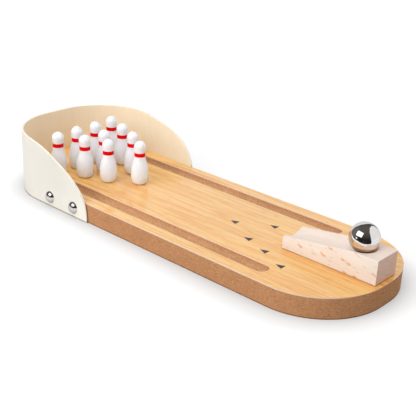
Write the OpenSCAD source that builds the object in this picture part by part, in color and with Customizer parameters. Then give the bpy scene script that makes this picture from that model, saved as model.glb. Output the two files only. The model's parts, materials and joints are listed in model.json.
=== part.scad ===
// Tabletop bowling game: lane board with gutters, bent fence, ten pins, ramp and ball.
// The lane runs along Y with the player at -Y. The underside lies on Z = 0.
// The origin is the middle of the whole footprint.

/* [Board] */
// width of the lane board
board_w = 100; // [94:1:116]
// length of the lane board
board_l = 290; // [280:1:320]
// thickness of the fibreboard core
core_t = 13.1; // [11:0.1:16]
// thickness of the wood-grain sheet on top
veneer_t = 0.3; // [0.3:0.05:1]
// radius of the board's front corners
front_r = 45; // [36:1:45]
// radius of the board's rear corners, inside the fence
rear_r = 42; // [36:1:45]

/* [Gutters] */
// radius of a gutter's round bottom
gutter_r = 5; // [4:0.1:5.5]
// distance from the board's long edge to the middle of a gutter
gutter_inset = 13.6; // [13:0.1:15]
// distance from the board's front to the middle of a gutter's round end
gutter_front = 60.7; // [50:0.1:70]

/* [Arrows] */
// length of a dart
arrow_l = 5.8; // [4:0.1:7]
// width of a dart
arrow_w = 4.8; // [3.5:0.1:6]
// thickness of a dart
arrow_t = 0.15; // [0.1:0.05:0.25]

/* [Fence] */
// thickness of the bent sheet
fence_t = 1.5; // [1:0.1:2]
// height of the fence at the back
fence_h = 44; // [40:0.1:48]
// distance from the fence's front tips to the board's rear
fence_l = 95; // [88:1:105]
// radius of the long sweep of the top edge
sweep_r = 108; // [100:1:120]
// radius of the rounded front end
nose_r = 33; // [30:0.2:34]
// height of the rounded front end's centre
nose_z = 2.2; // [1.6:0.1:3]
// radius of the fence's lower front corners
tip_r = 1.5; // [1:0.1:1.5]

/* [Tacks] */
// diameter of a tack's head
tack_d = 8.6; // [7:0.1:10]
// height of a tack's dome
tack_dome = 2.7; // [2:0.1:3.5]
// diameter of a tack's shank
shank_d = 1.6; // [1:0.1:2]
// length of a tack's shank
shank_l = 8; // [6:0.5:9]
// height of the tacks above the table
tack_z = 6.9; // [5.5:0.1:7.5]
// distance from the fence's tip to the first tack
tack_first = 13.5; // [12:0.1:18]
// distance between the tacks of one side
tack_pitch = 24.4; // [20:0.1:28]

/* [Ramp] */
// length of the ramp
ramp_l = 64.7; // [58:0.1:70]
// width of the ramp
ramp_w = 20.5; // [19.4:0.1:24]
// height of the level top
ramp_h = 15.5; // [13:0.1:18]
// height of the low end
ramp_low = 8; // [6:0.1:9]
// length of the level top
ramp_level = 18; // [14:0.5:22]
// radius of the bend between the level top and the slope
ramp_bend = 60; // [20:1:80]
// gap between the board's front and the ramp
ramp_gap = 3; // [1:0.1:10]
// distance of the ramp from the lane's middle line
ramp_x = 2.1; // [-10:0.1:10]
// radius of the groove
groove_r = 12.5; // [11:0.1:13]
// depth of the groove under the ball
groove_depth = 3.8; // [3:0.1:3.9]
// depth of the groove at the low end
groove_low = 2.5; // [2:0.1:3]

/* [Ball] */
// diameter of the ball
ball_d = 18; // [16:0.1:20]
// distance from the ramp's front to the ball
ball_back = 15; // [13:0.1:18]

/* [Pins] */
// height of a pin
pin_h = 30.7; // [29:0.1:34]
// diameter of the belly
belly_d = 12.1; // [11:0.1:13]
// height of the belly's widest part
belly_z = 6.9; // [5.5:0.1:8]
// diameter of the head
head_d = 8.1; // [7.8:0.1:9]
// diameter of the neck and its band
neck_d = 7.6; // [7:0.1:7.6]
// diameter of the foot
foot_d = 10.1; // [9.5:0.1:11]
// height of the rounding at the foot
foot_round = 1.4; // [1:0.1:1.8]
// height of the red band
band_h = 2.8; // [2:0.1:3.5]
// height of the red band's lower edge
band_z = 20.1; // [18.5:0.1:20.5]
// thickness of the red band
band_t = 0.4; // [0.3:0.1:0.6]
// distance between neighbours in a row
pin_pitch = 17.5; // [17:0.1:19]
// distance between rows
row_pitch = 17.6; // [17:0.1:18.5]
// distance from the board's rear to the head pin
rack_front = 91; // [86:0.5:95]
// turn of the hand-set triangle of pins
rack_turn = 3.7; // [0:0.1:5]

/* [Hidden] */
$fn = 96;
cut = 1;
fit_gap = 0.05;
run_gap = 0.3;
board_t = core_t + veneer_t;
half_w = board_w / 2;
half_l = board_l / 2;
origin_y = -fence_t / 2;
gutter_x = half_w - gutter_inset;

// darts: distance from the middle line as a share of half the width,
// distance from the board's front as a share of the length
arrow_spots = [[0, 0.387], [0.256, 0.312], [0.374, 0.252], [0.54, 0.189]];

// fence outline seen from the side: a nose arc that runs into the long sweep
fence_y = half_l - fence_l;
sweep_z = fence_h - sweep_r;
nose_y = fence_y + nose_r;
sweep_y = nose_y + sqrt(pow(sweep_r - nose_r, 2) - pow(nose_z - sweep_z, 2));
join_y = sweep_y + (nose_y - sweep_y) * sweep_r / (sweep_r - nose_r);
shank_r = shank_d / 2;
tack_r = tack_d / 2;
dome_r = (tack_r * tack_r + tack_dome * tack_dome) / (2 * tack_dome);

// ramp: places along it are measured from its front
ramp_y = ramp_gap - half_l;
ramp_angle = atan((ramp_h - ramp_low) / (ramp_l - ramp_level));
bend_start = ramp_level - ramp_bend * tan(ramp_angle / 2);
bend_steps = 6;
floor_top = ramp_h - groove_depth;
floor_low = ramp_low - groove_low;
groove_angle = atan((floor_top - floor_low) / (ramp_l - ball_back));
axis_y = ball_back + groove_r * sin(groove_angle);
axis_z = floor_top + groove_r * cos(groove_angle);
ball_r = ball_d / 2;
ball_up = ball_r + run_gap;

// pin outline: heights of its parts
belly_r = belly_d / 2;
head_r = head_d / 2;
neck_r = neck_d / 2;
foot_r = foot_d / 2;
head_z = pin_h - head_r;
// the shoulder is two arcs, bulging and then hollow, that meet at a share of its height
bulge_share = 0.72;
shoulder_dr = belly_r - neck_r;
shoulder_dz = band_z - belly_z;
bulge_dz = bulge_share * shoulder_dz;
hollow_dz = shoulder_dz - bulge_dz;
bulge_r = arc_r(bulge_share * shoulder_dr, bulge_dz);
hollow_r = arc_r((1 - bulge_share) * shoulder_dr, hollow_dz);
lower_r = arc_r(belly_r - foot_r, belly_z - foot_round);
// the sole's edge is part of a ball round the pin's axis
sole_r = foot_r - foot_round;
sole_z = (foot_r * foot_r + foot_round * foot_round - sole_r * sole_r) / (2 * foot_round);
sole_ball = norm([sole_r, sole_z]);
cheek_r = arc_r(head_r - neck_r, head_z - band_z - band_h);

// how far each pin stands from its place in the regular triangle, as a share of the pitch
pin_nudge = [[0, 0], [-0.2, 0.02], [0.13, -0.02], [0, 0.03], [-0.02, -0.06],
    [0.1, 0.01], [0, 0.03], [0, 0], [0, -0.04], [0, 0.02]];
pin_row = [0, 1, 1, 2, 2, 2, 3, 3, 3, 3];
pin_place = [0, 0, 1, 0, 1, 2, 0, 1, 2, 3];

// radius of an arc that starts upright and runs dz up while it runs dr across
function arc_r(dr, dz) = (dr * dr + dz * dz) / (2 * dr);

// point of the ramp's bend after a turn of a degrees
function bend_point(a) = [bend_start + ramp_bend * sin(a), ramp_h - ramp_bend * (1 - cos(a))];

// place of pin i in the triangle, seen from the head pin
function rack_spot(i) = [(pin_place[i] - pin_row[i] / 2) * pin_pitch, pin_row[i] * row_pitch];

function turned(p, a) = [p[0] * cos(a) - p[1] * sin(a), p[0] * sin(a) + p[1] * cos(a)];

function pin_spot(i) = turned(rack_spot(i), rack_turn) + pin_pitch * pin_nudge[i]
    + [0, half_l - rack_front];

// board outline, grown by a margin all round
module board_plan(margin = 0) {
    full_w = 2 * (half_w + margin);
    front_y = front_r - half_l;
    rear_y = half_l - rear_r;
    translate([-full_w / 2, front_y]) square([full_w, rear_y - front_y]);
    board_end(front_r, margin, -1);
    board_end(rear_r, margin, 1);
}

// one rounded end of the outline: side -1 is the front
module board_end(r, margin, side) {
    reach = r + margin;
    corner_x = half_w - r;
    corner_y = side * (half_l - r);
    translate([0, corner_y + side * reach / 2]) square([2 * corner_x, reach], center = true);
    for (x = [-corner_x, corner_x])
        translate([x, corner_y]) circle(reach);
}

// round rod along Z with a ball end below zero
module bullet(r, l) {
    rotate_extrude() {
        intersection() {
            circle(r);
            translate([0, -r]) square([r, r]);
        }
        square([r, l]);
    }
}

// the two gutters, running out at the board's rear
module gutter_cut() {
    for (x = [-gutter_x, gutter_x])
        translate([x, gutter_front - half_l, board_t])
            rotate([-90, 0, 0]) bullet(gutter_r, board_l);
}

module dart(l, w) {
    polygon([[-w / 2, -l / 2], [w / 2, -l / 2], [0, l / 2]]);
}

// all the darts, in a V that points at the pins
module dart_set() {
    for (spot = arrow_spots, side = spot[0] == 0 ? [1] : [-1, 1])
        translate([side * spot[0] * half_w, spot[1] * board_l - half_l]) dart(arrow_l, arrow_w);
}

// tack with its head's flat side on X = 0 and its shank along -X
module tack() {
    rotate([0, 90, 0]) {
        rotate_extrude() intersection() {
            translate([0, tack_dome - dome_r]) circle(dome_r);
            square([tack_r, tack_dome]);
        }
        translate([0, 0, -shank_l]) cylinder(r = shank_r, h = shank_l);
    }
}

// carries a tack's axis to its place: side -1 is the left, place 0 is the front
module at_tack(side, place) {
    y = fence_y + tack_first + place * tack_pitch;
    translate([side * (half_w + fence_t), y, tack_z]) rotate([0, 0, side > 0 ? 0 : 180]) children();
}

module tack_holes() {
    for (side = [-1, 1], place = [0, 1])
        at_tack(side, place) rotate([0, -90, 0])
            translate([0, 0, -cut]) cylinder(r = shank_r + fit_gap, h = shank_l + fit_gap + cut);
}

// fence seen from the side, Y to the right and Z up
module fence_side() {
    rear = half_l + fence_t + cut;
    intersection() {
        translate([nose_y, nose_z]) circle(nose_r);
        translate([fence_y, nose_z]) square([join_y - fence_y, fence_h]);
    }
    intersection() {
        translate([sweep_y, sweep_z]) circle(sweep_r);
        translate([join_y, nose_z]) square([sweep_y - join_y, fence_h]);
    }
    translate([sweep_y, nose_z]) square([rear - sweep_y, fence_h - nose_z]);
    translate([fence_y + tip_r, tip_r]) circle(tip_r);
    translate([fence_y + tip_r, 0]) square([rear - fence_y - tip_r, nose_z]);
    translate([fence_y, tip_r]) square([tip_r, nose_z - tip_r]);
}

// ramp seen from the side, its length to the right
module ramp_side() {
    bend = [for (i = [bend_steps:-1:0]) bend_point(ramp_angle * i / bend_steps)];
    polygon(concat([[0, 0], [ramp_l, 0], [ramp_l, ramp_low]], bend, [[0, ramp_h]]));
}

// half outline of a pin, from its foot up
module pin_outline() {
    intersection() {
        translate([belly_r - lower_r, belly_z]) circle(lower_r);
        translate([0, sole_z]) circle(sole_ball);
        square([belly_r, belly_z]);
    }
    intersection() {
        translate([belly_r - bulge_r, belly_z]) circle(bulge_r);
        translate([0, belly_z]) square([belly_r, bulge_dz]);
    }
    difference() {
        translate([0, belly_z + bulge_dz]) square([belly_r, hollow_dz]);
        translate([neck_r + hollow_r, band_z]) circle(hollow_r);
    }
    translate([0, band_z]) square([neck_r - band_t - fit_gap, band_h]);
    intersection() {
        translate([head_r - cheek_r, head_z]) circle(cheek_r);
        translate([0, band_z + band_h]) square([head_r, head_z - band_z - band_h]);
    }
    intersection() {
        translate([0, head_z]) circle(head_r);
        translate([0, head_z]) square([head_r, head_r]);
    }
}

module at_pin(i) {
    translate([pin_spot(i)[0], pin_spot(i)[1] + origin_y, board_t]) children();
}

module lane_board() {
    color([0.70, 0.50, 0.34]) translate([0, origin_y, 0]) difference() {
        linear_extrude(core_t) board_plan();
        gutter_cut();
        tack_holes();
    }
}

module lane_veneer() {
    color([0.95, 0.77, 0.53]) translate([0, origin_y, 0]) difference() {
        translate([0, 0, core_t]) linear_extrude(veneer_t) board_plan();
        gutter_cut();
        translate([0, 0, board_t - arrow_t]) linear_extrude(arrow_t + cut) dart_set();
    }
}

module lane_arrows() {
    color([0.27, 0.25, 0.29]) translate([0, origin_y, board_t - arrow_t])
        linear_extrude(arrow_t) dart_set();
}

module pin_fence() {
    color([0.93, 0.91, 0.85]) translate([0, origin_y, 0]) difference() {
        intersection() {
            linear_extrude(fence_h) difference() {
                board_plan(fence_t);
                board_plan(fit_gap);
            }
            translate([-board_w, 0, 0]) rotate([90, 0, 90])
                linear_extrude(2 * board_w) fence_side();
        }
        tack_holes();
    }
}

module placed_tack(side, place) {
    color([0.78, 0.78, 0.80]) translate([0, origin_y, 0]) at_tack(side, place) tack();
}

module tack_left_front() {
    placed_tack(-1, 0);
}

module tack_left_rear() {
    placed_tack(-1, 1);
}

module tack_right_front() {
    placed_tack(1, 0);
}

module tack_right_rear() {
    placed_tack(1, 1);
}

module ramp() {
    color([0.94, 0.85, 0.77]) translate([ramp_x, ramp_y + origin_y, board_t]) difference() {
        translate([-ramp_w / 2, 0, 0]) rotate([90, 0, 90]) linear_extrude(ramp_w) ramp_side();
        translate([0, axis_y, axis_z]) rotate([-90 - groove_angle, 0, 0]) bullet(groove_r, 2 * ramp_l);
    }
}

module ball() {
    color([0.80, 0.80, 0.82])
        translate([ramp_x, ramp_y + origin_y + ball_back + ball_up * sin(groove_angle),
            board_t + floor_top + ball_up * cos(groove_angle)])
            sphere(ball_r);
}

module pin(i) {
    color([0.95, 0.94, 0.94]) at_pin(i) rotate_extrude() pin_outline();
}

module band(i) {
    color([0.86, 0.02, 0.05]) at_pin(i) translate([0, 0, band_z]) rotate_extrude()
        translate([neck_r - band_t, 0]) square([band_t, band_h]);
}

lane_board();
lane_veneer();
lane_arrows();
pin_fence();
tack_left_front();
tack_left_rear();
tack_right_front();
tack_right_rear();
ramp();
ball();
for (i = [0:9]) {
    pin(i);
    band(i);
}
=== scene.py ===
"""Looks of a tabletop bowling game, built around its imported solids. Metres, Z up, player at -Y."""

import json
import math

import bmesh
import bpy
from mathutils import Matrix, Vector

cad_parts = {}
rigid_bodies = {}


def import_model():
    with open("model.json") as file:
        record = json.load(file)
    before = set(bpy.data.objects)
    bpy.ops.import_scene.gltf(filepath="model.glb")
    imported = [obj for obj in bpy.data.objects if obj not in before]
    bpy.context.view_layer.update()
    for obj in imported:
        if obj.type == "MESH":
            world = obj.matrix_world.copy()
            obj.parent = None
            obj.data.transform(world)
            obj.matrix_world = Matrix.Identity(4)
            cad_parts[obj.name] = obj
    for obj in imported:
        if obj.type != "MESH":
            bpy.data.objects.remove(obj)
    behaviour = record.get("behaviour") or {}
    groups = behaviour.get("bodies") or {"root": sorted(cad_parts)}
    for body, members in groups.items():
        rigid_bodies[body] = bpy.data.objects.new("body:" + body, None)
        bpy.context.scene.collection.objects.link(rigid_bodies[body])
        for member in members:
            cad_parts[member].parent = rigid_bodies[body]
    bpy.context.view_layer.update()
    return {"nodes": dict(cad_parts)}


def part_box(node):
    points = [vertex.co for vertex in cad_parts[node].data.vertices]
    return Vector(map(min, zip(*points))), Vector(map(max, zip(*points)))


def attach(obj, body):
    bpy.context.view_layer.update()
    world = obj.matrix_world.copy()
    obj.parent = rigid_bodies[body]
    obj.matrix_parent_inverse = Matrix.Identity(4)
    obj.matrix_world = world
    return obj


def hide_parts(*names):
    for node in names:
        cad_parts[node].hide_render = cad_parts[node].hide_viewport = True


MM = 0.001
WHITE = (1.0, 1.0, 1.0)

# where a noise's usual values begin and end
NOISE_LOW = 0.3
NOISE_HIGH = 0.7

# photograph's side in pixels, and the camera fitted to it: place, azimuth, height angle and roll in
# degrees, focal length in pixels, sensor
PHOTO_PX = 416
CAMERA_AT = Vector((-375.2, -341.9, 234.0)) * MM
CAMERA_AZIMUTH = -48.60
CAMERA_ELEVATION = 23.61
CAMERA_ROLL = 2.51
CAMERA_FOCAL_PX = 842.2
SENSOR_MM = 36.0

# board: thickness with its sheet, half its width, radius of its rear corners
BOARD_T = 13.4 * MM
BOARD_HALF_W = 50 * MM
BOARD_REAR_R = 42 * MM

# distance at which two points of a mesh count as one, and steps round an eased edge
MERGE = 1e-7
EDGE_STEPS = 4

# fence: sheet, its gap to the board, its eased edge and its rows of faces
FENCE_T = 1.5 * MM
FENCE_GAP = 0.05 * MM
FENCE_EASE = 0.35 * MM
FENCE_ROWS = 12
# its materials, in the order that pin_fence is given them
OUTSIDE, INSIDE, RIM = 0, 1, 2
# rim: broad sweep down from the full height, tighter nose below it, rounded lower tip
SWEEP_R = 108 * MM
NOSE_R = 33 * MM
NOSE_Z = 2.2 * MM
TIP_R = 1.5 * MM
# steps along the fence from its tip to the rear corner; those of the nose begin at an angle in degrees
TIP_STEPS = 6
NOSE_STEPS = 14
NOSE_FROM = 20
SIDE_STEPS = 10
CORNER_STEPS = 36
# outward stand of the free front ends: most, length, lowest height, curve
FLARE = 5.5 * MM
FLARE_RUN = 60 * MM
FLARE_FROM = 12 * MM
FLARE_CURVE = 1.2

# ramp: low end, level top, bend between the two, eased edges, foot, steps of its height field;
# then its groove, and how far from the front the ball sits
RAMP_LOW = 8.0 * MM
RAMP_LEVEL = 18 * MM
RAMP_BEND = 60 * MM
RAMP_EASE = 0.3 * MM
RAMP_FOOT = 0.3 * MM
RAMP_STEP = (0.3 * MM, 0.45 * MM)
GROOVE_R = 12.5 * MM
GROOVE_DEPTH = 3.8 * MM
GROOVE_LOW = 2.5 * MM
GROOVE_EASE = 0.25 * MM
BALL_BACK = 15 * MM

# beech flecks: slant against the height, and wobble in parts of a cell
FLECK_SLANT = 0.45
FLECK_WOBBLE = 0.9

# steel: its hue, and the normal's heights between which the painted reflection of the wood on the lower side
# and the painted reflection of the contact shadow at the foot come in
STEEL_TINT = (1.0, 0.968, 0.950)
STEEL_REFLECTION_LEAN = (-0.18, -0.34)
STEEL_CONTACT_SHADE_LEAN = (-0.56, -0.74)

# floor: half its side, grey where it is lit, distances between which its glow grows;
# then the reach and samples of its contact shadow
FLOOR_REACH = 6.0
FLOOR_GREY = 0.38
FLOOR_GLOW_RUN = (0.1, 2.2)
CONTACT_REACH = 18 * MM
CONTACT_SAMPLES = 12

# point at the pins that the small lamp aims at
PIN_RACK = Vector((-18, 112, 20)) * MM

# window at the left: direction, distance, width and height, glow of the pane that gloss shows in its place
WINDOW_TOWARD = Vector((-0.760, 0.150, 0.630))
WINDOW_FAR = 1.0
WINDOW_SIZE = (0.90, 0.62)
WINDOW_GLOW = 1.7

# small window that only gloss shows: azimuth from the camera's and height in degrees, half its sides,
# glow, and its distance in parts of the room's radius
PANE_AZIMUTH = -65.8
PANE_ELEVATION = 5
PANE_HALF = (0.15, 0.13)
PANE_GLOW = 1.3
PANE_FAR = 0.95

# dark room that only gloss shows: radius, rows, longest step in degrees, and its lower edge as (azimuth
# from the camera's, height) in degrees; below that edge gloss shows a white backdrop behind, a white card
# at the right and the white table
ROOM_R = 1.6
ROOM_ROWS = 20
ROOM_STEP = 5
ROOM_EDGE = (
    (-180, 50), (-160, 43), (-153, 38), (-148, 25), (-145, 13), (-138, -4), (37.5, -4), (38, 32),
    (42, 46), (48, 55), (65, 61), (97, 65), (118, 56), (135, 41), (137, 8), (139, -4),
    (143, -4), (145, 13), (148, 25), (155, 37), (165, 45), (180, 50),
)
# line where that table ends in gloss, and the azimuths from the camera's in which the dark goes on there
TABLE_END = tuple(Vector(v) * MM for v in ((-17, -224, 0.2), (-175, -84, 0.2), (-496, 1275, 0.2)))
TABLE_OUTWARD = (40, -40, -100)


def clear_scene():
    """Empties the start-up scene."""
    for thing in list(bpy.data.objects):
        bpy.data.objects.remove(thing, do_unlink=True)


def arc(start, end, steps):
    """Angles from start to end in degrees, both included, as radians."""
    return [math.radians(start + (end - start) * i / steps) for i in range(steps + 1)]


# materials


class Shader:
    """A new material with one Principled shader and short ways to add nodes to it."""

    def __init__(self, name):
        self.material = bpy.data.materials.new(name)
        self.material.use_nodes = True
        self.tree = self.material.node_tree
        self.nodes = self.tree.nodes
        self.bsdf = self.nodes["Principled BSDF"]
        self.place = self.nodes.new("ShaderNodeTexCoord").outputs["Object"]
        self.normal = self.nodes.new("ShaderNodeNewGeometry").outputs["Normal"]

    def set(self, **values):
        """Constant values on the shader's own sockets."""
        for socket, value in values.items():
            self.bsdf.inputs[socket.replace("_", " ")].default_value = value
        return self

    def link(self, out, socket):
        """Links an output to a socket of the shader."""
        self.tree.links.new(out, self.bsdf.inputs[socket])

    def feed(self, node, socket, value):
        """Gives a node's socket a link or a constant."""
        if hasattr(value, "is_output"):
            self.tree.links.new(value, node.inputs[socket])
        else:
            node.inputs[socket].default_value = value

    def stretched(self, x, y, z, turn=(0, 0, 0)):
        """Object coordinates times the given factors."""
        node = self.nodes.new("ShaderNodeMapping")
        node.inputs["Scale"].default_value = (x, y, z)
        node.inputs["Rotation"].default_value = turn
        self.tree.links.new(self.place, node.inputs["Vector"])
        return node.outputs["Vector"]

    def noise(self, vector, scale, detail=4.0, roughness=0.6, distortion=0.0):
        node = self.nodes.new("ShaderNodeTexNoise")
        self.tree.links.new(vector, node.inputs["Vector"])
        node.inputs["Scale"].default_value = scale
        node.inputs["Detail"].default_value = detail
        node.inputs["Roughness"].default_value = roughness
        node.inputs["Distortion"].default_value = distortion
        return node.outputs["Fac"]

    def side_cells(self, scale, long):
        """Cells on the object's sides: distance to the nearest random point, and its random colour."""
        y, z = self.along("Y"), self.along("Z")
        run = self.math("ADD", self.math("MULTIPLY", y, 1 / long), self.math("MULTIPLY", z, -FLECK_SLANT))
        wobble = self.noise(self.place, scale * 2, detail=2)
        rise = self.math("ADD", z, self.math("MULTIPLY", wobble, FLECK_WOBBLE / scale))
        flat = self.nodes.new("ShaderNodeCombineXYZ")
        self.feed(flat, 0, run)
        self.feed(flat, 1, rise)
        node = self.nodes.new("ShaderNodeTexVoronoi")
        node.voronoi_dimensions = "2D"
        self.tree.links.new(flat.outputs[0], node.inputs["Vector"])
        node.inputs["Scale"].default_value = scale
        return node.outputs["Distance"], node.outputs["Color"]

    def ramp(self, value, *stops):
        """Colour ramp with (position, colour) stops."""
        node = self.nodes.new("ShaderNodeValToRGB")
        self.tree.links.new(value, node.inputs["Fac"])
        points = node.color_ramp.elements
        while len(points) < len(stops):
            points.new(1.0)
        for point, (position, colour) in zip(points, stops):
            point.position = position
            point.color = (*colour, 1.0) if isinstance(colour, tuple) else (colour, colour, colour, 1.0)
        return node.outputs["Color"]

    def between(self, value, first, second):
        """Colour that goes from first to second over a noise's usual values."""
        return self.ramp(value, (NOISE_LOW, first), (NOISE_HIGH, second))

    def graded(self, axis, low, high, first, second=WHITE):
        """Colour that goes from first to second between two places along an axis."""
        return self.ramp(self.span(self.along(axis), low, high), (0.0, first), (1.0, second))

    def rough(self, value, first, second):
        """Roughness that goes from first to second over a noise's usual values."""
        self.link(self.between(value, first, second), "Roughness")

    def mix(self, share, first, second, mode="MIX"):
        """Two colours mixed by a share of the second."""
        node = self.nodes.new("ShaderNodeMix")
        node.data_type = "RGBA"
        node.blend_type = mode
        for socket, value in ((0, share), (6, first), (7, second)):
            if isinstance(value, tuple):
                value = (*value, 1.0)
            self.feed(node, socket, value)
        return node.outputs[2]

    def times(self, first, second):
        """Two colours multiplied."""
        return self.mix(1.0, first, second, "MULTIPLY")

    def math(self, operation, *values):
        node = self.nodes.new("ShaderNodeMath")
        node.operation = operation
        for socket, value in enumerate(values):
            self.feed(node, socket, value)
        return node.outputs[0]

    def along(self, axis):
        """Object coordinate along one axis."""
        node = self.nodes.new("ShaderNodeSeparateXYZ")
        self.tree.links.new(self.place, node.inputs[0])
        return node.outputs[axis]

    def span(self, value, low, high):
        """0 at low, 1 at high, smooth between and level beyond; low may be the greater number."""
        node = self.nodes.new("ShaderNodeMapRange")
        node.interpolation_type = "SMOOTHSTEP"
        node.inputs["From Min"].default_value = low
        node.inputs["From Max"].default_value = high
        self.tree.links.new(value, node.inputs["Value"])
        return node.outputs[0]

    def lean(self, axis):
        """The surface normal along an axis: -1 to 1."""
        node = self.nodes.new("ShaderNodeSeparateXYZ")
        self.tree.links.new(self.normal, node.inputs[0])
        return node.outputs[axis]

    def facing(self, axis):
        """How squarely the surface faces along an axis, either way: 0 to 1."""
        return self.math("ABSOLUTE", self.lean(axis))

    def bump(self, height, depth, strength):
        """Bump of a depth in metres from a height between 0 and 1."""
        node = self.nodes.new("ShaderNodeBump")
        node.inputs["Distance"].default_value = depth
        node.inputs["Strength"].default_value = strength
        self.tree.links.new(height, node.inputs["Height"])
        self.link(node.outputs["Normal"], "Normal")


def fibreboard():
    """Raw cut fibreboard: pressed strands, soft clouds, painted light on faces that look up, a painted
    contact shadow at its foot, a painted highlight under the sheet on its sides.
    """
    s = Shader("fibreboard").set(IOR=1.4)
    strands = s.noise(s.stretched(1, 1, 1.7), 760, detail=5, roughness=0.7, distortion=1.2)
    clouds = s.noise(s.stretched(1, 1, 1.5), 90, detail=3)
    dark, middle, pale = (0.375, 0.162, 0.066), (0.545, 0.260, 0.116), (0.730, 0.385, 0.190)
    colour = s.ramp(strands, (0.32, dark), (0.52, middle), (0.72, pale))
    tint = s.between(clouds, (0.91, 0.90, 0.89), WHITE)
    colour = s.times(colour, tint)
    # painted light: faces that look up, the gutters' floors, are lifted paler and less saturated against the
    # shade in their hollow
    painted_light_facing_up = s.ramp(s.facing("Z"), (0.25, WHITE), (0.75, (1.09, 1.29, 1.46)))
    colour = s.times(colour, painted_light_facing_up)
    # painted contact shadow: darker towards the bottom edge, where the board stands on the table
    painted_contact_shade = s.graded("Z", 0.2 * MM, 1.0 * MM, (0.42, 0.36, 0.32))
    colour = s.times(colour, painted_contact_shade)
    # painted highlight: a pale line just under the sheet, only on the sides that face the light from the left
    on_sides = s.ramp(s.facing("X"), (0.35, 0.0), (0.8, 0.6))
    under_sheet = s.span(s.along("Z"), BOARD_T - 0.8 * MM, BOARD_T - 0.5 * MM)
    painted_edge_highlight = s.math("MULTIPLY", under_sheet, on_sides)
    s.link(s.mix(painted_edge_highlight, colour, (0.88, 0.74, 0.60)), "Base Color")
    s.rough(strands, 0.95, 0.78)
    s.bump(strands, 0.12 * MM, 0.5)
    return s.material


def wood_grain_sheet():
    """Glossy wood-grain sheet: lengthwise grain, pores, a cut edge painted pale on the sides and brown at the
    ends as painted light and shade, painted light on the deck under the pins.
    """
    s = Shader("wood_grain_sheet").set(IOR=1.74)
    broad = s.noise(s.stretched(1, 0.07, 1), 70, detail=3, roughness=0.55, distortion=0.4)
    grain = s.noise(s.stretched(1, 0.042, 1), 260, detail=2, roughness=0.55, distortion=0.2)
    fine = s.noise(s.stretched(1, 0.05, 1), 640, detail=3, roughness=0.6, distortion=0.15)
    pores = s.noise(s.stretched(1, 0.11, 1), 1300, detail=2, roughness=0.5)
    dark, middle, pale = (0.815, 0.445, 0.131), (0.840, 0.468, 0.143), (0.865, 0.492, 0.157)
    colour = s.ramp(broad, (0.30, dark), (0.50, middle), (0.70, pale))
    veins = s.ramp(grain, (0.40, (0.95, 0.84, 0.68)), (0.50, WHITE), (0.60, (1.01, 1.05, 1.12)))
    colour = s.times(colour, veins)
    streaks = s.ramp(fine, (0.40, (0.94, 0.81, 0.64)), (0.50, WHITE), (0.62, (1.03, 1.09, 1.18)))
    colour = s.times(colour, streaks)
    dashes = s.ramp(pores, (0.60, 0.0), (0.72, 0.60))
    colour = s.mix(dashes, colour, (0.62, 0.25, 0.085))
    tone = s.graded("Y", -110 * MM, -20 * MM, (1.02, 1.01, 0.96), (0.965, 0.98, 1.035))
    colour = s.times(colour, tone)
    # painted light: the sheet is paler and warmer under the pins, where the fence and the pins shade it
    painted_light_deck = s.graded("Y", 58 * MM, 84 * MM, WHITE, (1.13, 1.13, 0.99))
    colour = s.times(colour, painted_light_deck)
    # the cut edge's own colour, painted pale where it faces the sides and brown where it faces the ends, as
    # painted light and shade
    cut = s.ramp(s.facing("X"), (0.35, (0.52, 0.36, 0.24)), (0.8, (0.90, 0.80, 0.68)))
    edge = s.ramp(s.facing("Z"), (0.45, 1.0), (0.75, 0.0))
    s.link(s.mix(edge, colour, cut), "Base Color")
    s.rough(fine, 0.15, 0.10)
    s.bump(fine, 0.02 * MM, 0.2)
    return s.material


def dart_ink():
    """Dark print with the sheet's grain faintly in it."""
    s = Shader("dart_ink").set(IOR=1.45)
    grain = s.noise(s.stretched(1, 0.05, 1), 1500, detail=4)
    s.link(s.ramp(grain, (0.35, (0.020, 0.018, 0.024)), (0.70, (0.050, 0.045, 0.055))), "Base Color")
    s.rough(grain, 0.55, 0.4)
    return s.material


def fence_lacquer():
    """Cream lacquer outside the bent sheet: painted light on its front ends, a painted brown contact shadow
    where it stands on the table.
    """
    s = Shader("fence_lacquer").set(IOR=1.45)
    clouds = s.noise(s.place, 45, detail=3)
    skin = s.noise(s.place, 900, detail=3)
    colour = s.between(clouds, (0.772, 0.731, 0.655), (0.802, 0.763, 0.689))
    # painted light: the front ends are paler, where their outward lean leaves them in shade
    ends = s.graded("Y", 52 * MM, 85 * MM, (1.11, 1.11, 1.11))
    colour = s.times(colour, ends)
    # painted contact shadow: a brown line along the bottom edge, where the sheet stands on the table
    line = s.graded("Z", 0.5 * MM, 1.3 * MM, (0.30, 0.20, 0.14))
    s.link(s.times(colour, line), "Base Color")
    s.rough(skin, 0.42, 0.52)
    s.bump(skin, 0.04 * MM, 0.3)
    return s.material


def fence_bare():
    """Bare beige inner side of the bent sheet, with faint upright fibres."""
    s = Shader("fence_bare").set(IOR=1.42)
    fibres = s.noise(s.stretched(1, 1, 0.12), 700, detail=4, roughness=0.65)
    clouds = s.noise(s.stretched(1, 1, 0.5), 60, detail=3)
    colour = s.between(fibres, (0.850, 0.738, 0.548), (0.875, 0.772, 0.592))
    tint = s.between(clouds, (0.96, 0.955, 0.945), WHITE)
    s.link(s.times(colour, tint), "Base Color")
    s.rough(fibres, 0.72, 0.58)
    s.bump(fibres, 0.03 * MM, 0.2)
    return s.material


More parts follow.
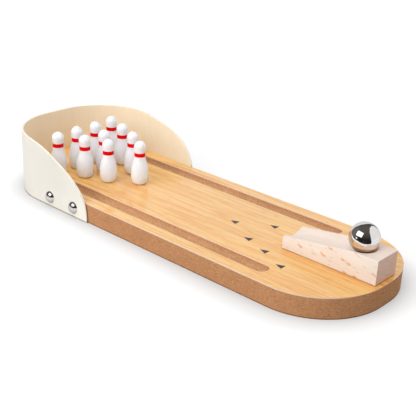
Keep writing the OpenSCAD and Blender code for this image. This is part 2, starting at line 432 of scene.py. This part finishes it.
def fence_rim():
    """Cut edge of the bent sheet: pale above the board, with painted shade in dark brown down beside it."""
    s = Shader("fence_rim").set(IOR=1.42)
    fibres = s.noise(s.place, 1400, detail=4)
    colour = s.between(fibres, (0.790, 0.715, 0.590), (0.875, 0.820, 0.715))
    # painted shade: dark brown where the cut edge runs down beside the board, in the seam against it
    across = s.math("ABSOLUTE", s.along("X"))
    beside = s.span(across, BOARD_HALF_W + 1.0 * MM, BOARD_HALF_W + 0.5 * MM)
    below = s.span(s.along("Z"), 16 * MM, 12 * MM)
    s.link(s.mix(s.math("MULTIPLY", beside, below), colour, (0.16, 0.10, 0.05)), "Base Color")
    s.rough(fibres, 0.65, 0.5)
    s.bump(fibres, 0.05 * MM, 0.3)
    return s.material


def beech():
    """Sanded beech: fine lines, short flecks on the sides, darker end grain, painted shade on faces that look
    up, a painted contact shadow at its foot.
    """
    s = Shader("beech").set(IOR=1.45)
    lines = s.noise(s.stretched(1, 0.04, 1), 900, detail=5, roughness=0.7)
    clouds = s.noise(s.stretched(1, 0.25, 1), 110, detail=3)
    colour = s.between(lines, (0.845, 0.760, 0.690), (0.895, 0.830, 0.775))
    tint = s.between(clouds, (0.94, 0.92, 0.90), WHITE)
    colour = s.times(colour, tint)
    # painted shade: faces that look up are darker and warmer
    above = s.ramp(s.facing("Z"), (0.5, WHITE), (0.8, (0.965, 0.90, 0.875)))
    colour = s.times(colour, above)
    on_sides = s.ramp(s.facing("X"), (0.5, 0.0), (0.8, 1.0))
    for scale, long, share, strength in ((215, 1.9, 0.50, 0.80), (420, 2.4, 0.62, 0.45)):
        apart, own = s.side_cells(scale, long)
        flecks = s.ramp(apart, (0.10, 1.0), (0.24, 0.0))
        chosen = s.ramp(own, (share, 0.0), (share + 0.05, strength))
        amount = s.math("MULTIPLY", s.math("MULTIPLY", flecks, chosen), on_sides)
        colour = s.mix(amount, colour, (0.73, 0.38, 0.15))
    rings = s.noise(s.stretched(0.25, 1, 1, turn=(0, math.radians(25), 0)), 1100, detail=5, roughness=0.7)
    end_grain = s.between(rings, (0.70, 0.450, 0.340), (0.89, 0.625, 0.495))
    colour = s.mix(s.ramp(s.facing("Y"), (0.80, 0.0), (0.95, 1.0)), colour, end_grain)
    # painted contact shadow: a dark line at the foot, where the block stands on the lane
    foot = s.graded("Z", BOARD_T + 0.25 * MM, BOARD_T + 0.8 * MM, (0.58, 0.38, 0.22))
    s.link(s.times(colour, foot), "Base Color")
    s.rough(lines, 0.72, 0.58)
    s.bump(lines, 0.05 * MM, 0.35)
    return s.material


def polished_steel(name, tone, below, foot, blur):
    """Bright steel with faint haze; below is the tone of its lower side and foot that of its lowest end, both
    painted reflections: of what it rests on and of its contact shadow.
    """
    s = Shader(name).set(Metallic=1.0, Specular_Tint=(0.72, 0.72, 0.74, 1.0))
    haze = s.noise(s.place, 350, detail=5)
    dull, bright = (tuple(level * share for share in STEEL_TINT) for level in (tone, tone + 0.05))
    colour = s.between(haze, dull, bright)
    lean = s.lean("Z")
    # painted reflection: the lower side takes the tone of the wood it rests on
    colour = s.mix(s.span(lean, *STEEL_REFLECTION_LEAN), colour, below)
    # painted reflection of the contact shadow: the lowest end turns dark
    s.link(s.mix(s.span(lean, *STEEL_CONTACT_SHADE_LEAN), colour, foot), "Base Color")
    s.rough(haze, blur, blur + 0.04)
    return s.material


def pin_white():
    """Smooth white gloss with a barely uneven coat and a painted contact shadow as a thin line at its foot.
    """
    s = Shader("pin_white").set(IOR=1.48)
    clouds = s.noise(s.stretched(1, 1, 0.6), 160, detail=3)
    colour = s.between(clouds, (0.805, 0.830, 0.876), (0.830, 0.855, 0.901))
    # painted contact shadow: a thin dark line at the foot, where the pin stands on the lane
    foot = s.graded("Z", BOARD_T + 0.1 * MM, BOARD_T + 0.8 * MM, (0.62, 0.46, 0.34))
    s.link(s.times(colour, foot), "Base Color")
    s.rough(clouds, 0.26, 0.34)
    s.bump(clouds, 0.02 * MM, 0.05)
    return s.material


def band_red():
    """Red gloss paint."""
    s = Shader("band_red").set(IOR=1.15)
    clouds = s.noise(s.stretched(1, 1, 0.4), 500, detail=3)
    s.link(s.between(clouds, (0.690, 0.001, 0.003), (0.770, 0.002, 0.005)), "Base Color")
    s.rough(clouds, 0.25, 0.33)
    return s.material


# meshes


def mesh_object(name, verts, faces, materials, face_material=None, sharp=40):
    """A smooth mesh with merged doubles and outward faces; edges above an angle in degrees are sharp."""
    mesh = bpy.data.meshes.new(name)
    mesh.from_pydata([tuple(v) for v in verts], [], faces)
    for material in materials:
        mesh.materials.append(material)
    if face_material:
        for polygon, index in zip(mesh.polygons, face_material):
            polygon.material_index = index
    build = bmesh.new()
    build.from_mesh(mesh)
    bmesh.ops.remove_doubles(build, verts=build.verts, dist=MERGE)
    bmesh.ops.recalc_face_normals(build, faces=build.faces)
    build.to_mesh(mesh)
    build.free()
    mesh.shade_smooth()
    mesh.set_sharp_from_angle(angle=math.radians(sharp))
    thing = bpy.data.objects.new(name, mesh)
    bpy.context.scene.collection.objects.link(thing)
    return thing


def fence_height(y, front, top):
    """Height of the fence's rim at a distance y along the lane."""
    nose_y = front + NOSE_R
    sweep_z = top - SWEEP_R
    sweep_y = nose_y + math.sqrt((SWEEP_R - NOSE_R) ** 2 - (NOSE_Z - sweep_z) ** 2)
    join_y = sweep_y + (nose_y - sweep_y) * SWEEP_R / (SWEEP_R - NOSE_R)
    if y >= sweep_y:
        return top
    if y >= join_y:
        return sweep_z + math.sqrt(SWEEP_R**2 - (y - sweep_y) ** 2)
    return NOSE_Z + math.sqrt(max(0.0, NOSE_R**2 - (nose_y - y) ** 2))


def flare(y, height, front, top):
    """How far the sheet's free front ends stand outward above the tacks."""
    rise = max(0.0, (height - FLARE_FROM) / (top - FLARE_FROM))
    near = max(0.0, 1 - (y - front) / FLARE_RUN)
    return FLARE * rise**FLARE_CURVE * near * near * (3 - 2 * near)


def fence_stations(low, high):
    """Places along half of the fence, left tip to middle of the back: point, outward direction."""
    front = low.y
    side = high.x - FENCE_T
    rear = high.y - FENCE_T
    corner_x = side - BOARD_REAR_R
    corner_y = rear - BOARD_REAR_R
    spots = [TIP_R * (1 - math.cos(a)) for a in arc(0, 90, TIP_STEPS)]
    spots += [NOSE_R * (1 - math.cos(a)) for a in arc(NOSE_FROM, 90, NOSE_STEPS)]
    straight = corner_y - front
    spots = [s for s in spots if s < straight]
    left = spots[-1]
    spots += [left + (straight - left) * i / SIDE_STEPS for i in range(1, SIDE_STEPS + 1)]
    stations = [(Vector((-side, front + s, 0)), Vector((-1, 0, 0))) for s in sorted(set(spots))]
    for a in arc(0, 90, CORNER_STEPS)[1:]:
        out = Vector((-math.cos(a), math.sin(a), 0))
        stations.append((Vector((-corner_x, corner_y, 0)) + out * BOARD_REAR_R, out))
    for i in (0.5, 1.0):
        stations.append((Vector((-corner_x * (1 - i), rear, 0)), Vector((0, 1, 0))))
    return stations


def pin_fence(materials):
    """Bent sheet with eased edges: a flat outline in length and height, wrapped round the board."""
    low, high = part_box("pin_fence")
    half = fence_stations(low, high)
    mirror = [(Vector((-p.x, p.y, 0)), Vector((-n.x, n.y, 0))) for p, n in reversed(half[:-1])]
    stations = half + mirror
    length = [0.0]
    for (a, _), (b, _) in zip(stations, stations[1:]):
        length.append(length[-1] + (b - a).length)
    bottoms, tops = [], []
    for (point, _), along in zip(stations, length):
        tip = min(along, length[-1] - along)
        lift = TIP_R - math.sqrt(max(0.0, TIP_R**2 - (TIP_R - tip) ** 2)) if tip < TIP_R else 0.0
        bottoms.append((along, lift))
        tops.append((along, fence_height(point.y, low.y, high.z)))
    rim = bottoms + tops[::-1]
    count = len(rim)

    def inward(i):
        """Direction into the flat sheet at a point of its outline."""
        before, after = Vector(rim[i - 1]), Vector(rim[(i + 1) % count])
        run = (after - before).normalized()
        return Vector((-run.y, run.x))

    sheet = FENCE_T - FENCE_GAP
    edge = [(FENCE_EASE * (1 - math.sin(a)), FENCE_EASE * (1 - math.cos(a))) for a in arc(0, 90, EDGE_STEPS)]
    support = 2 * FENCE_EASE
    across = [(support, sheet)] + [(inset, sheet - depth) for inset, depth in edge]
    across += [(inset, depth) for inset, depth in reversed(edge)] + [(support, 0.0)]

    def wrap(along, height, out):
        """A place of the flat sheet, bent round the board, at a distance outward."""
        index = min(range(len(length)), key=lambda i: abs(length[i] - along))
        point, normal = stations[index]
        before, after = stations[max(index - 1, 0)][0], stations[min(index + 1, len(stations) - 1)][0]
        spot = point + (after - before).normalized() * (along - length[index])
        stand = FENCE_GAP + out + flare(spot.y, height, low.y, high.z)
        return spot + normal * stand + Vector((0, 0, height))

    verts, faces, kinds = [], [], []
    for inset, out in across:
        for i in range(count):
            along, height = Vector(rim[i]) + inward(i) * inset
            verts.append(wrap(along, height, out))
    for k in range(len(across) - 1):
        for i in range(count):
            j = (i + 1) % count
            faces.append((k * count + i, k * count + j, (k + 1) * count + j, (k + 1) * count + i))
            kinds.append({0: OUTSIDE, len(across) - 2: INSIDE}.get(k, RIM))
    last = len(bottoms) - 1
    for ring, kind in ((0, OUTSIDE), (len(across) - 1, INSIDE)):
        inset, out = across[ring]
        columns = []
        for i in range(last + 1):
            foot, head = i, count - 1 - i
            column = [ring * count + foot]
            if 0 < i < last:
                start = Vector(rim[foot]) + inward(foot) * inset
                end = Vector(rim[head]) + inward(head) * inset
                for r in range(1, FENCE_ROWS):
                    column.append(len(verts))
                    verts.append(wrap(*start.lerp(end, r / FENCE_ROWS), out))
            columns.append(column + [ring * count + head])
        for left, right in zip(columns, columns[1:]):
            if len(left) == len(right):
                strips = [(left[r], right[r], right[r + 1], left[r + 1]) for r in range(FENCE_ROWS)]
            else:
                strips = [tuple(left[:1] + right + left[:0:-1])]
            faces += strips
            kinds += [kind] * len(strips)
    fence = mesh_object("fence_bent_sheet", verts, faces, materials, kinds)
    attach(fence, "lane")
    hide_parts("pin_fence")


def ramp_top(along, size):
    """Height of the ramp's top at a distance from its front, without the groove."""
    slope = math.atan((size.z - RAMP_LOW) / (size.y - RAMP_LEVEL))
    bend_start = RAMP_LEVEL - RAMP_BEND * math.tan(slope / 2)
    bend_end = bend_start + RAMP_BEND * math.sin(slope)
    if along <= bend_start:
        return size.z
    if along <= bend_end:
        return size.z - RAMP_BEND + math.sqrt(RAMP_BEND**2 - (along - bend_start) ** 2)
    return RAMP_LOW + (size.y - along) * math.tan(slope)


def groove_floor(x, along, size):
    """Height of the groove's surface: a slanted round channel with a ball end."""
    floor_top, floor_low = size.z - GROOVE_DEPTH, RAMP_LOW - GROOVE_LOW
    slope = math.atan((floor_top - floor_low) / (size.y - BALL_BACK))
    axis = Vector((0, math.cos(slope), -math.sin(slope)))
    start = Vector((0, BALL_BACK + GROOVE_R * math.sin(slope), floor_top + GROOVE_R * math.cos(slope)))
    # the lowest point of the channel above this spot of the plan, if there is one
    a = 1 - axis.z**2
    base = Vector((x, along, 0)) - start
    b = base.z - base.dot(axis) * axis.z
    c = base.length_squared - base.dot(axis) ** 2 - GROOVE_R**2
    inside = b * b - a * c
    if inside < 0:
        return None
    height = (-b - math.sqrt(inside)) / a
    if (base + Vector((0, 0, height))).dot(axis) >= 0:
        return height
    inside = base.z**2 - (base.length_squared - GROOVE_R**2)
    if inside < 0:
        return None
    return -base.z - math.sqrt(inside)


def soft_min(a, b, reach):
    """The lower of two heights, blended over the given reach."""
    share = max(0.0, min(1.0, 0.5 + 0.5 * (b - a) / reach))
    return b + (a - b) * share - reach * share * (1 - share)


def ramp_block(material):
    """Launching ramp: a fine height field with eased edges over straight sides."""
    low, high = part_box("ramp")
    size = high - low
    half = size.x / 2
    ease = [RAMP_EASE * math.sin(a) for a in arc(0, 90, EDGE_STEPS)]

    def rows(length, step):
        """Places along a length, close together at its two eased ends."""
        inner = length - 2 * RAMP_EASE
        count = max(2, round(inner / step))
        middle = [RAMP_EASE + inner * i / count for i in range(1, count)]
        return [RAMP_EASE - e for e in reversed(ease)] + middle + [length - RAMP_EASE + e for e in ease]

    xs = [x - half for x in rows(size.x, RAMP_STEP[0])]
    ys = rows(size.y, RAMP_STEP[1])
    verts, faces = [], []
    for y in ys:
        for x in xs:
            over_x = max(0.0, abs(x) - (half - RAMP_EASE))
            over_y = max(0.0, RAMP_EASE - y, y - (size.y - RAMP_EASE))
            far = math.hypot(over_x, over_y)
            pull = RAMP_EASE / far if far > RAMP_EASE else 1.0
            px = x - math.copysign(over_x * (1 - pull), x)
            py = y + (over_y * (1 - pull) if y < RAMP_EASE else -over_y * (1 - pull))
            drop = RAMP_EASE - math.sqrt(max(0.0, RAMP_EASE**2 - min(far, RAMP_EASE) ** 2))
            height = ramp_top(py, size)
            floor = groove_floor(px, py, size)
            if floor is not None:
                height = soft_min(height, floor, GROOVE_EASE)
            verts.append((px, py, height - drop))
    wide = len(xs)
    for j in range(len(ys) - 1):
        for i in range(wide - 1):
            a = j * wide + i
            faces.append((a, a + 1, a + wide + 1, a + wide))
    loop = list(range(wide))
    loop += [j * wide + wide - 1 for j in range(1, len(ys))]
    loop += [(len(ys) - 1) * wide + i for i in range(wide - 2, -1, -1)]
    loop += [j * wide for j in range(len(ys) - 2, 0, -1)]
    count = len(loop)
    ring = loop
    middle = size.y / 2
    for height, inset in ((RAMP_FOOT, 0.0), (RAMP_FOOT * 0.3, RAMP_FOOT * 0.3), (0.0, RAMP_FOOT)):
        new = []
        for i in loop:
            x, y, _ = verts[i]
            x -= math.copysign(inset, x) if abs(x) > half - RAMP_EASE else 0.0
            y -= math.copysign(inset, y - middle) if abs(y - middle) > middle - RAMP_EASE else 0.0
            new.append(len(verts))
            verts.append((x, y, height))
        for k in range(count):
            n = (k + 1) % count
            faces.append((ring[n], ring[k], new[k], new[n]))
        ring = new
    faces.append(tuple(reversed(ring)))
    corner = Vector((low.x + half, low.y, low.z))
    ramp = mesh_object("ramp_block", [Vector(v) + corner for v in verts], faces, [material], sharp=50)
    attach(ramp, "ramp")
    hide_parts("ramp")


# studio


def add_camera():
    """Camera at the photograph's place, with its turn and roll."""
    az, el, roll = (math.radians(a) for a in (CAMERA_AZIMUTH, CAMERA_ELEVATION, CAMERA_ROLL))
    back = Vector((math.sin(az) * math.cos(el), -math.cos(az) * math.cos(el), math.sin(el)))
    level = (-back).cross(Vector((0, 0, 1))).normalized()
    upright = level.cross(-back)
    right = level * math.cos(roll) + upright * math.sin(roll)
    up = upright * math.cos(roll) - level * math.sin(roll)
    lens = bpy.data.cameras.new("camera")
    lens.sensor_width = SENSOR_MM
    lens.sensor_fit = "HORIZONTAL"
    lens.lens = CAMERA_FOCAL_PX * SENSOR_MM / PHOTO_PX
    lens.clip_start = 0.01
    lens.clip_end = 50
    camera = bpy.data.objects.new("camera", lens)
    turn = Matrix((right, up, back)).transposed()
    camera.matrix_world = Matrix.Translation(CAMERA_AT) @ turn.to_4x4()
    bpy.context.scene.collection.objects.link(camera)
    bpy.context.scene.camera = camera


def soft_box(name, toward, distance, size, watts, aim=(0, 0, 0), spread=180):
    """A rectangular lamp in the given direction from the aimed point, facing it; its spread is in degrees."""
    lamp = bpy.data.lights.new(name, "AREA")
    lamp.shape = "RECTANGLE"
    lamp.size, lamp.size_y = size
    lamp.energy = watts
    lamp.spread = math.radians(spread)
    box = bpy.data.objects.new(name, lamp)
    direction = Vector(toward).normalized()
    box.location = Vector(aim) + direction * distance
    box.rotation_euler = direction.to_track_quat("Z", "Y").to_euler()
    bpy.context.scene.collection.objects.link(box)
    return box


def seen_rays(nodes, links):
    """1 for camera, glossy and transmission rays, 0 for the rays that carry light."""
    path = nodes.new("ShaderNodeLightPath")
    total = path.outputs["Is Camera Ray"]
    for kind in ("Is Glossy Ray", "Is Transmission Ray"):
        most = nodes.new("ShaderNodeMath")
        most.operation = "MAXIMUM"
        links.new(total, most.inputs[0])
        links.new(path.outputs[kind], most.inputs[1])
        total = most.outputs[0]
    return total


def grade(nodes, links, value, start, end, first, last):
    """A value from start to end, mapped to first to last."""
    node = nodes.new("ShaderNodeMapRange")
    for socket, number in (("From Min", start), ("From Max", end), ("To Min", first), ("To Max", last)):
        node.inputs[socket].default_value = number
    links.new(value, node.inputs["Value"])
    return node.outputs[0]


def add_world(fill):
    """White where it is seen, and a soft even fill where it lights."""
    world = bpy.data.worlds.new("studio")
    bpy.context.scene.world = world
    world.use_nodes = True
    nodes, links = world.node_tree.nodes, world.node_tree.links
    mix = nodes.new("ShaderNodeMix")
    mix.data_type = "FLOAT"
    mix.inputs[2].default_value = fill
    mix.inputs[3].default_value = 1.0
    links.new(seen_rays(nodes, links), mix.inputs[0])
    background = nodes["Background"]
    background.inputs["Color"].default_value = (1, 1, 1, 1)
    links.new(mix.outputs[0], background.inputs["Strength"])


def add_floor(near_glow, far_glow):
    """Wide white floor that keeps the object's shadow and is lifted to white where it is seen."""
    mesh = bpy.data.meshes.new("floor")
    corners = [(x * FLOOR_REACH, y * FLOOR_REACH, 0) for x, y in ((-1, -1), (1, -1), (1, 1), (-1, 1))]
    mesh.from_pydata(corners, [], [(0, 1, 2, 3)])
    floor = bpy.data.objects.new("floor", mesh)
    bpy.context.scene.collection.objects.link(floor)
    material = bpy.data.materials.new("floor_white")
    material.use_nodes = True
    nodes, links = material.node_tree.nodes, material.node_tree.links
    bsdf = nodes["Principled BSDF"]
    bsdf.inputs["Base Color"].default_value = (FLOOR_GREY, FLOOR_GREY, FLOOR_GREY, 1)
    bsdf.inputs["Roughness"].default_value = 1.0
    bsdf.inputs["Specular IOR Level"].default_value = 0.0
    bsdf.inputs["Emission Color"].default_value = (1, 1, 1, 1)
    place = nodes.new("ShaderNodeTexCoord")
    away = nodes.new("ShaderNodeVectorMath")
    away.operation = "LENGTH"
    links.new(place.outputs["Object"], away.inputs[0])
    glow = grade(nodes, links, away.outputs["Value"], *FLOOR_GLOW_RUN, near_glow, far_glow)
    contact = nodes.new("ShaderNodeAmbientOcclusion")
    contact.samples = CONTACT_SAMPLES
    contact.inputs["Distance"].default_value = CONTACT_REACH
    strength = seen_rays(nodes, links)
    for factor in (glow, contact.outputs["AO"]):
        times = nodes.new("ShaderNodeMath")
        times.operation = "MULTIPLY"
        links.new(strength, times.inputs[0])
        links.new(factor, times.inputs[1])
        strength = times.outputs[0]
    links.new(strength, bsdf.inputs["Emission Strength"])
    mesh.materials.append(material)


def seen_from(azimuth, elevation):
    """Direction at an azimuth from the camera's and a height, both in degrees."""
    a, e = math.radians(CAMERA_AZIMUTH + azimuth), math.radians(elevation)
    return Vector((math.sin(a) * math.cos(e), -math.cos(a) * math.cos(e), math.sin(e)))


def glow_look(name, tone):
    """Plain glow for a stage surface; gives the material and its shader."""
    material = bpy.data.materials.new(name)
    material.use_nodes = True
    bsdf = material.node_tree.nodes["Principled BSDF"]
    bsdf.inputs["Base Color"].default_value = (0, 0, 0, 1)
    bsdf.inputs["Specular IOR Level"].default_value = 0.0
    bsdf.inputs["Emission Color"].default_value = (*tone, 1)
    bsdf.inputs["Emission Strength"].default_value = 1.0
    return material, bsdf


def dark_look(tone):
    """Dim glow, paler toward the ceiling and at the left."""
    material, bsdf = glow_look("dark_room", tone)
    nodes, links = material.node_tree.nodes, material.node_tree.links
    place = nodes.new("ShaderNodeTexCoord")
    total = nodes.new("ShaderNodeMath")
    # direction; then the distances along it between which the glow goes from its least to its most
    upward = ((0, 0, 1), (0.2, 1.5, 0.2, 1.2))
    leftward = (seen_from(-110, 0), (0.7, 1.55, 0.0, 1.5))
    for k, (way, spread) in enumerate((upward, leftward)):
        far = nodes.new("ShaderNodeVectorMath")
        far.operation = "DOT_PRODUCT"
        links.new(place.outputs["Object"], far.inputs[0])
        far.inputs[1].default_value = way
        links.new(grade(nodes, links, far.outputs["Value"], *spread), total.inputs[k])
    links.new(total.outputs[0], bsdf.inputs["Emission Strength"])
    return material


def add_gloss_only(name, verts, faces, material):
    """A stage surface that shows only in gloss and changes no light."""
    mesh = bpy.data.meshes.new(name)
    mesh.from_pydata(verts, [], faces)
    mesh.materials.append(material)
    thing = bpy.data.objects.new(name, mesh)
    thing.visible_camera = False
    thing.visible_diffuse = False
    thing.visible_shadow = False
    thing.visible_transmission = False
    bpy.context.scene.collection.objects.link(thing)


def add_pane(name, middle, side, up, glow):
    """A bright pane that shows only in gloss, from its middle and its half sides."""
    corners = [middle - side - up, middle + side - up, middle + side + up, middle - side + up]
    add_gloss_only(name, corners, [(0, 1, 2, 3)], glow_look(name, (glow, glow, glow))[0])


def add_dark_room(tone):
    """Dark room round the white backdrop, seen only in gloss, so that bright metal looks like metal."""
    material = dark_look(tone)
    edge = [ROOM_EDGE[0]]
    for (a, low), (b, high) in zip(ROOM_EDGE, ROOM_EDGE[1:]):
        steps = math.ceil((b - a) / ROOM_STEP)
        edge += [(a + (b - a) * i / steps, low + (high - low) * i / steps) for i in range(1, steps + 1)]
    verts, faces = [], []
    for azimuth, low in edge:
        verts += [seen_from(azimuth, low + (90 - low) * j / ROOM_ROWS) * ROOM_R for j in range(ROOM_ROWS + 1)]
    row = ROOM_ROWS + 1
    for i in range(len(edge) - 1):
        for j in range(ROOM_ROWS):
            k = i * row + j
            faces.append((k, k + row, k + row + 1, k + 1))
    add_gloss_only("dark_room", verts, faces, material)
    outer = [v + seen_from(turn, 0) * ROOM_R for v, turn in zip(TABLE_END, TABLE_OUTWARD)]
    add_gloss_only("dark_table_end", [*TABLE_END, *outer], [(0, 1, 4, 3), (1, 2, 5, 4)], material)
    middle = seen_from(PANE_AZIMUTH, PANE_ELEVATION) * ROOM_R * PANE_FAR
    side, up = seen_from(PANE_AZIMUTH + 90, 0) * PANE_HALF[0], Vector((0, 0, PANE_HALF[1]))
    add_pane("small_window", middle, side, up, PANE_GLOW)
    turn = WINDOW_TOWARD.to_track_quat("Z", "Y").to_matrix()
    side, up = (turn.col[k] * WINDOW_SIZE[k] / 2 for k in range(2))
    add_pane("window_pane", WINDOW_TOWARD.normalized() * WINDOW_FAR, side, up, WINDOW_GLOW)


def add_studio():
    """Camera, world, floor, lamps and what gloss shows of the room."""
    bpy.context.scene.view_settings.view_transform = "Standard"
    add_camera()
    add_world(fill=0.50)
    add_floor(near_glow=0.63, far_glow=1.0)
    # name, direction, distance, width and height in metres, watts
    lamps = [
        soft_box("window_left", WINDOW_TOWARD, WINDOW_FAR, WINDOW_SIZE, 5.6),
        soft_box("card_left", (-1.0, 0.0, 0.20), 1.2, (1.6, 0.6), 3.5),
        soft_box("card_right", (0.90, 0.05, 0.45), 1.3, (1.2, 0.9), 4.6),
        soft_box("card_front", (0.70, -0.70, 0.45), 1.3, (1.2, 0.9), 1.4),
        soft_box("card_pins", (-0.30, -0.40, 0.60), 0.5, (0.20, 0.20), 0.019, aim=PIN_RACK, spread=20),
        soft_box("overhead", (-0.10, -0.10, 1.0), 1.2, (1.0, 1.0), 2.25),
    ]
    for lamp in lamps:
        lamp.visible_glossy = False
    add_dark_room(tone=(0.100, 0.090, 0.082))


def dress_nodes(nodes):
    """Gives every carried-over CAD node its procedural material."""
    # below and foot are painted reflections: on the ball the warm wood under it and its dark contact shadow,
    # on the tacks a slightly warm lower side and a darker lowest end
    tack = polished_steel("tack_steel", 0.62, below=(0.62, 0.59, 0.56), foot=(0.56, 0.52, 0.48), blur=0.07)
    ball = polished_steel("ball_steel", 0.72, below=(1.0, 0.80, 0.60), foot=(0.20, 0.09, 0.045), blur=0.035)
    looks = {
        "lane_board": fibreboard(),
        "lane_veneer": wood_grain_sheet(),
        "lane_arrows": dart_ink(),
        "ball": ball,
    }
    white, red = pin_white(), band_red()
    for name, node in nodes.items():
        look = looks.get(name)
        if name.startswith("tack_"):
            look = tack
        elif name.startswith("pin_") and name != "pin_fence":
            look = white
        elif name.startswith("band_"):
            look = red
        if look:
            node.data.materials.clear()
            node.data.materials.append(look)


clear_scene()
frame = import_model()
add_studio()
dress_nodes(frame["nodes"])
pin_fence([fence_lacquer(), fence_bare(), fence_rim()])
ramp_block(beech())
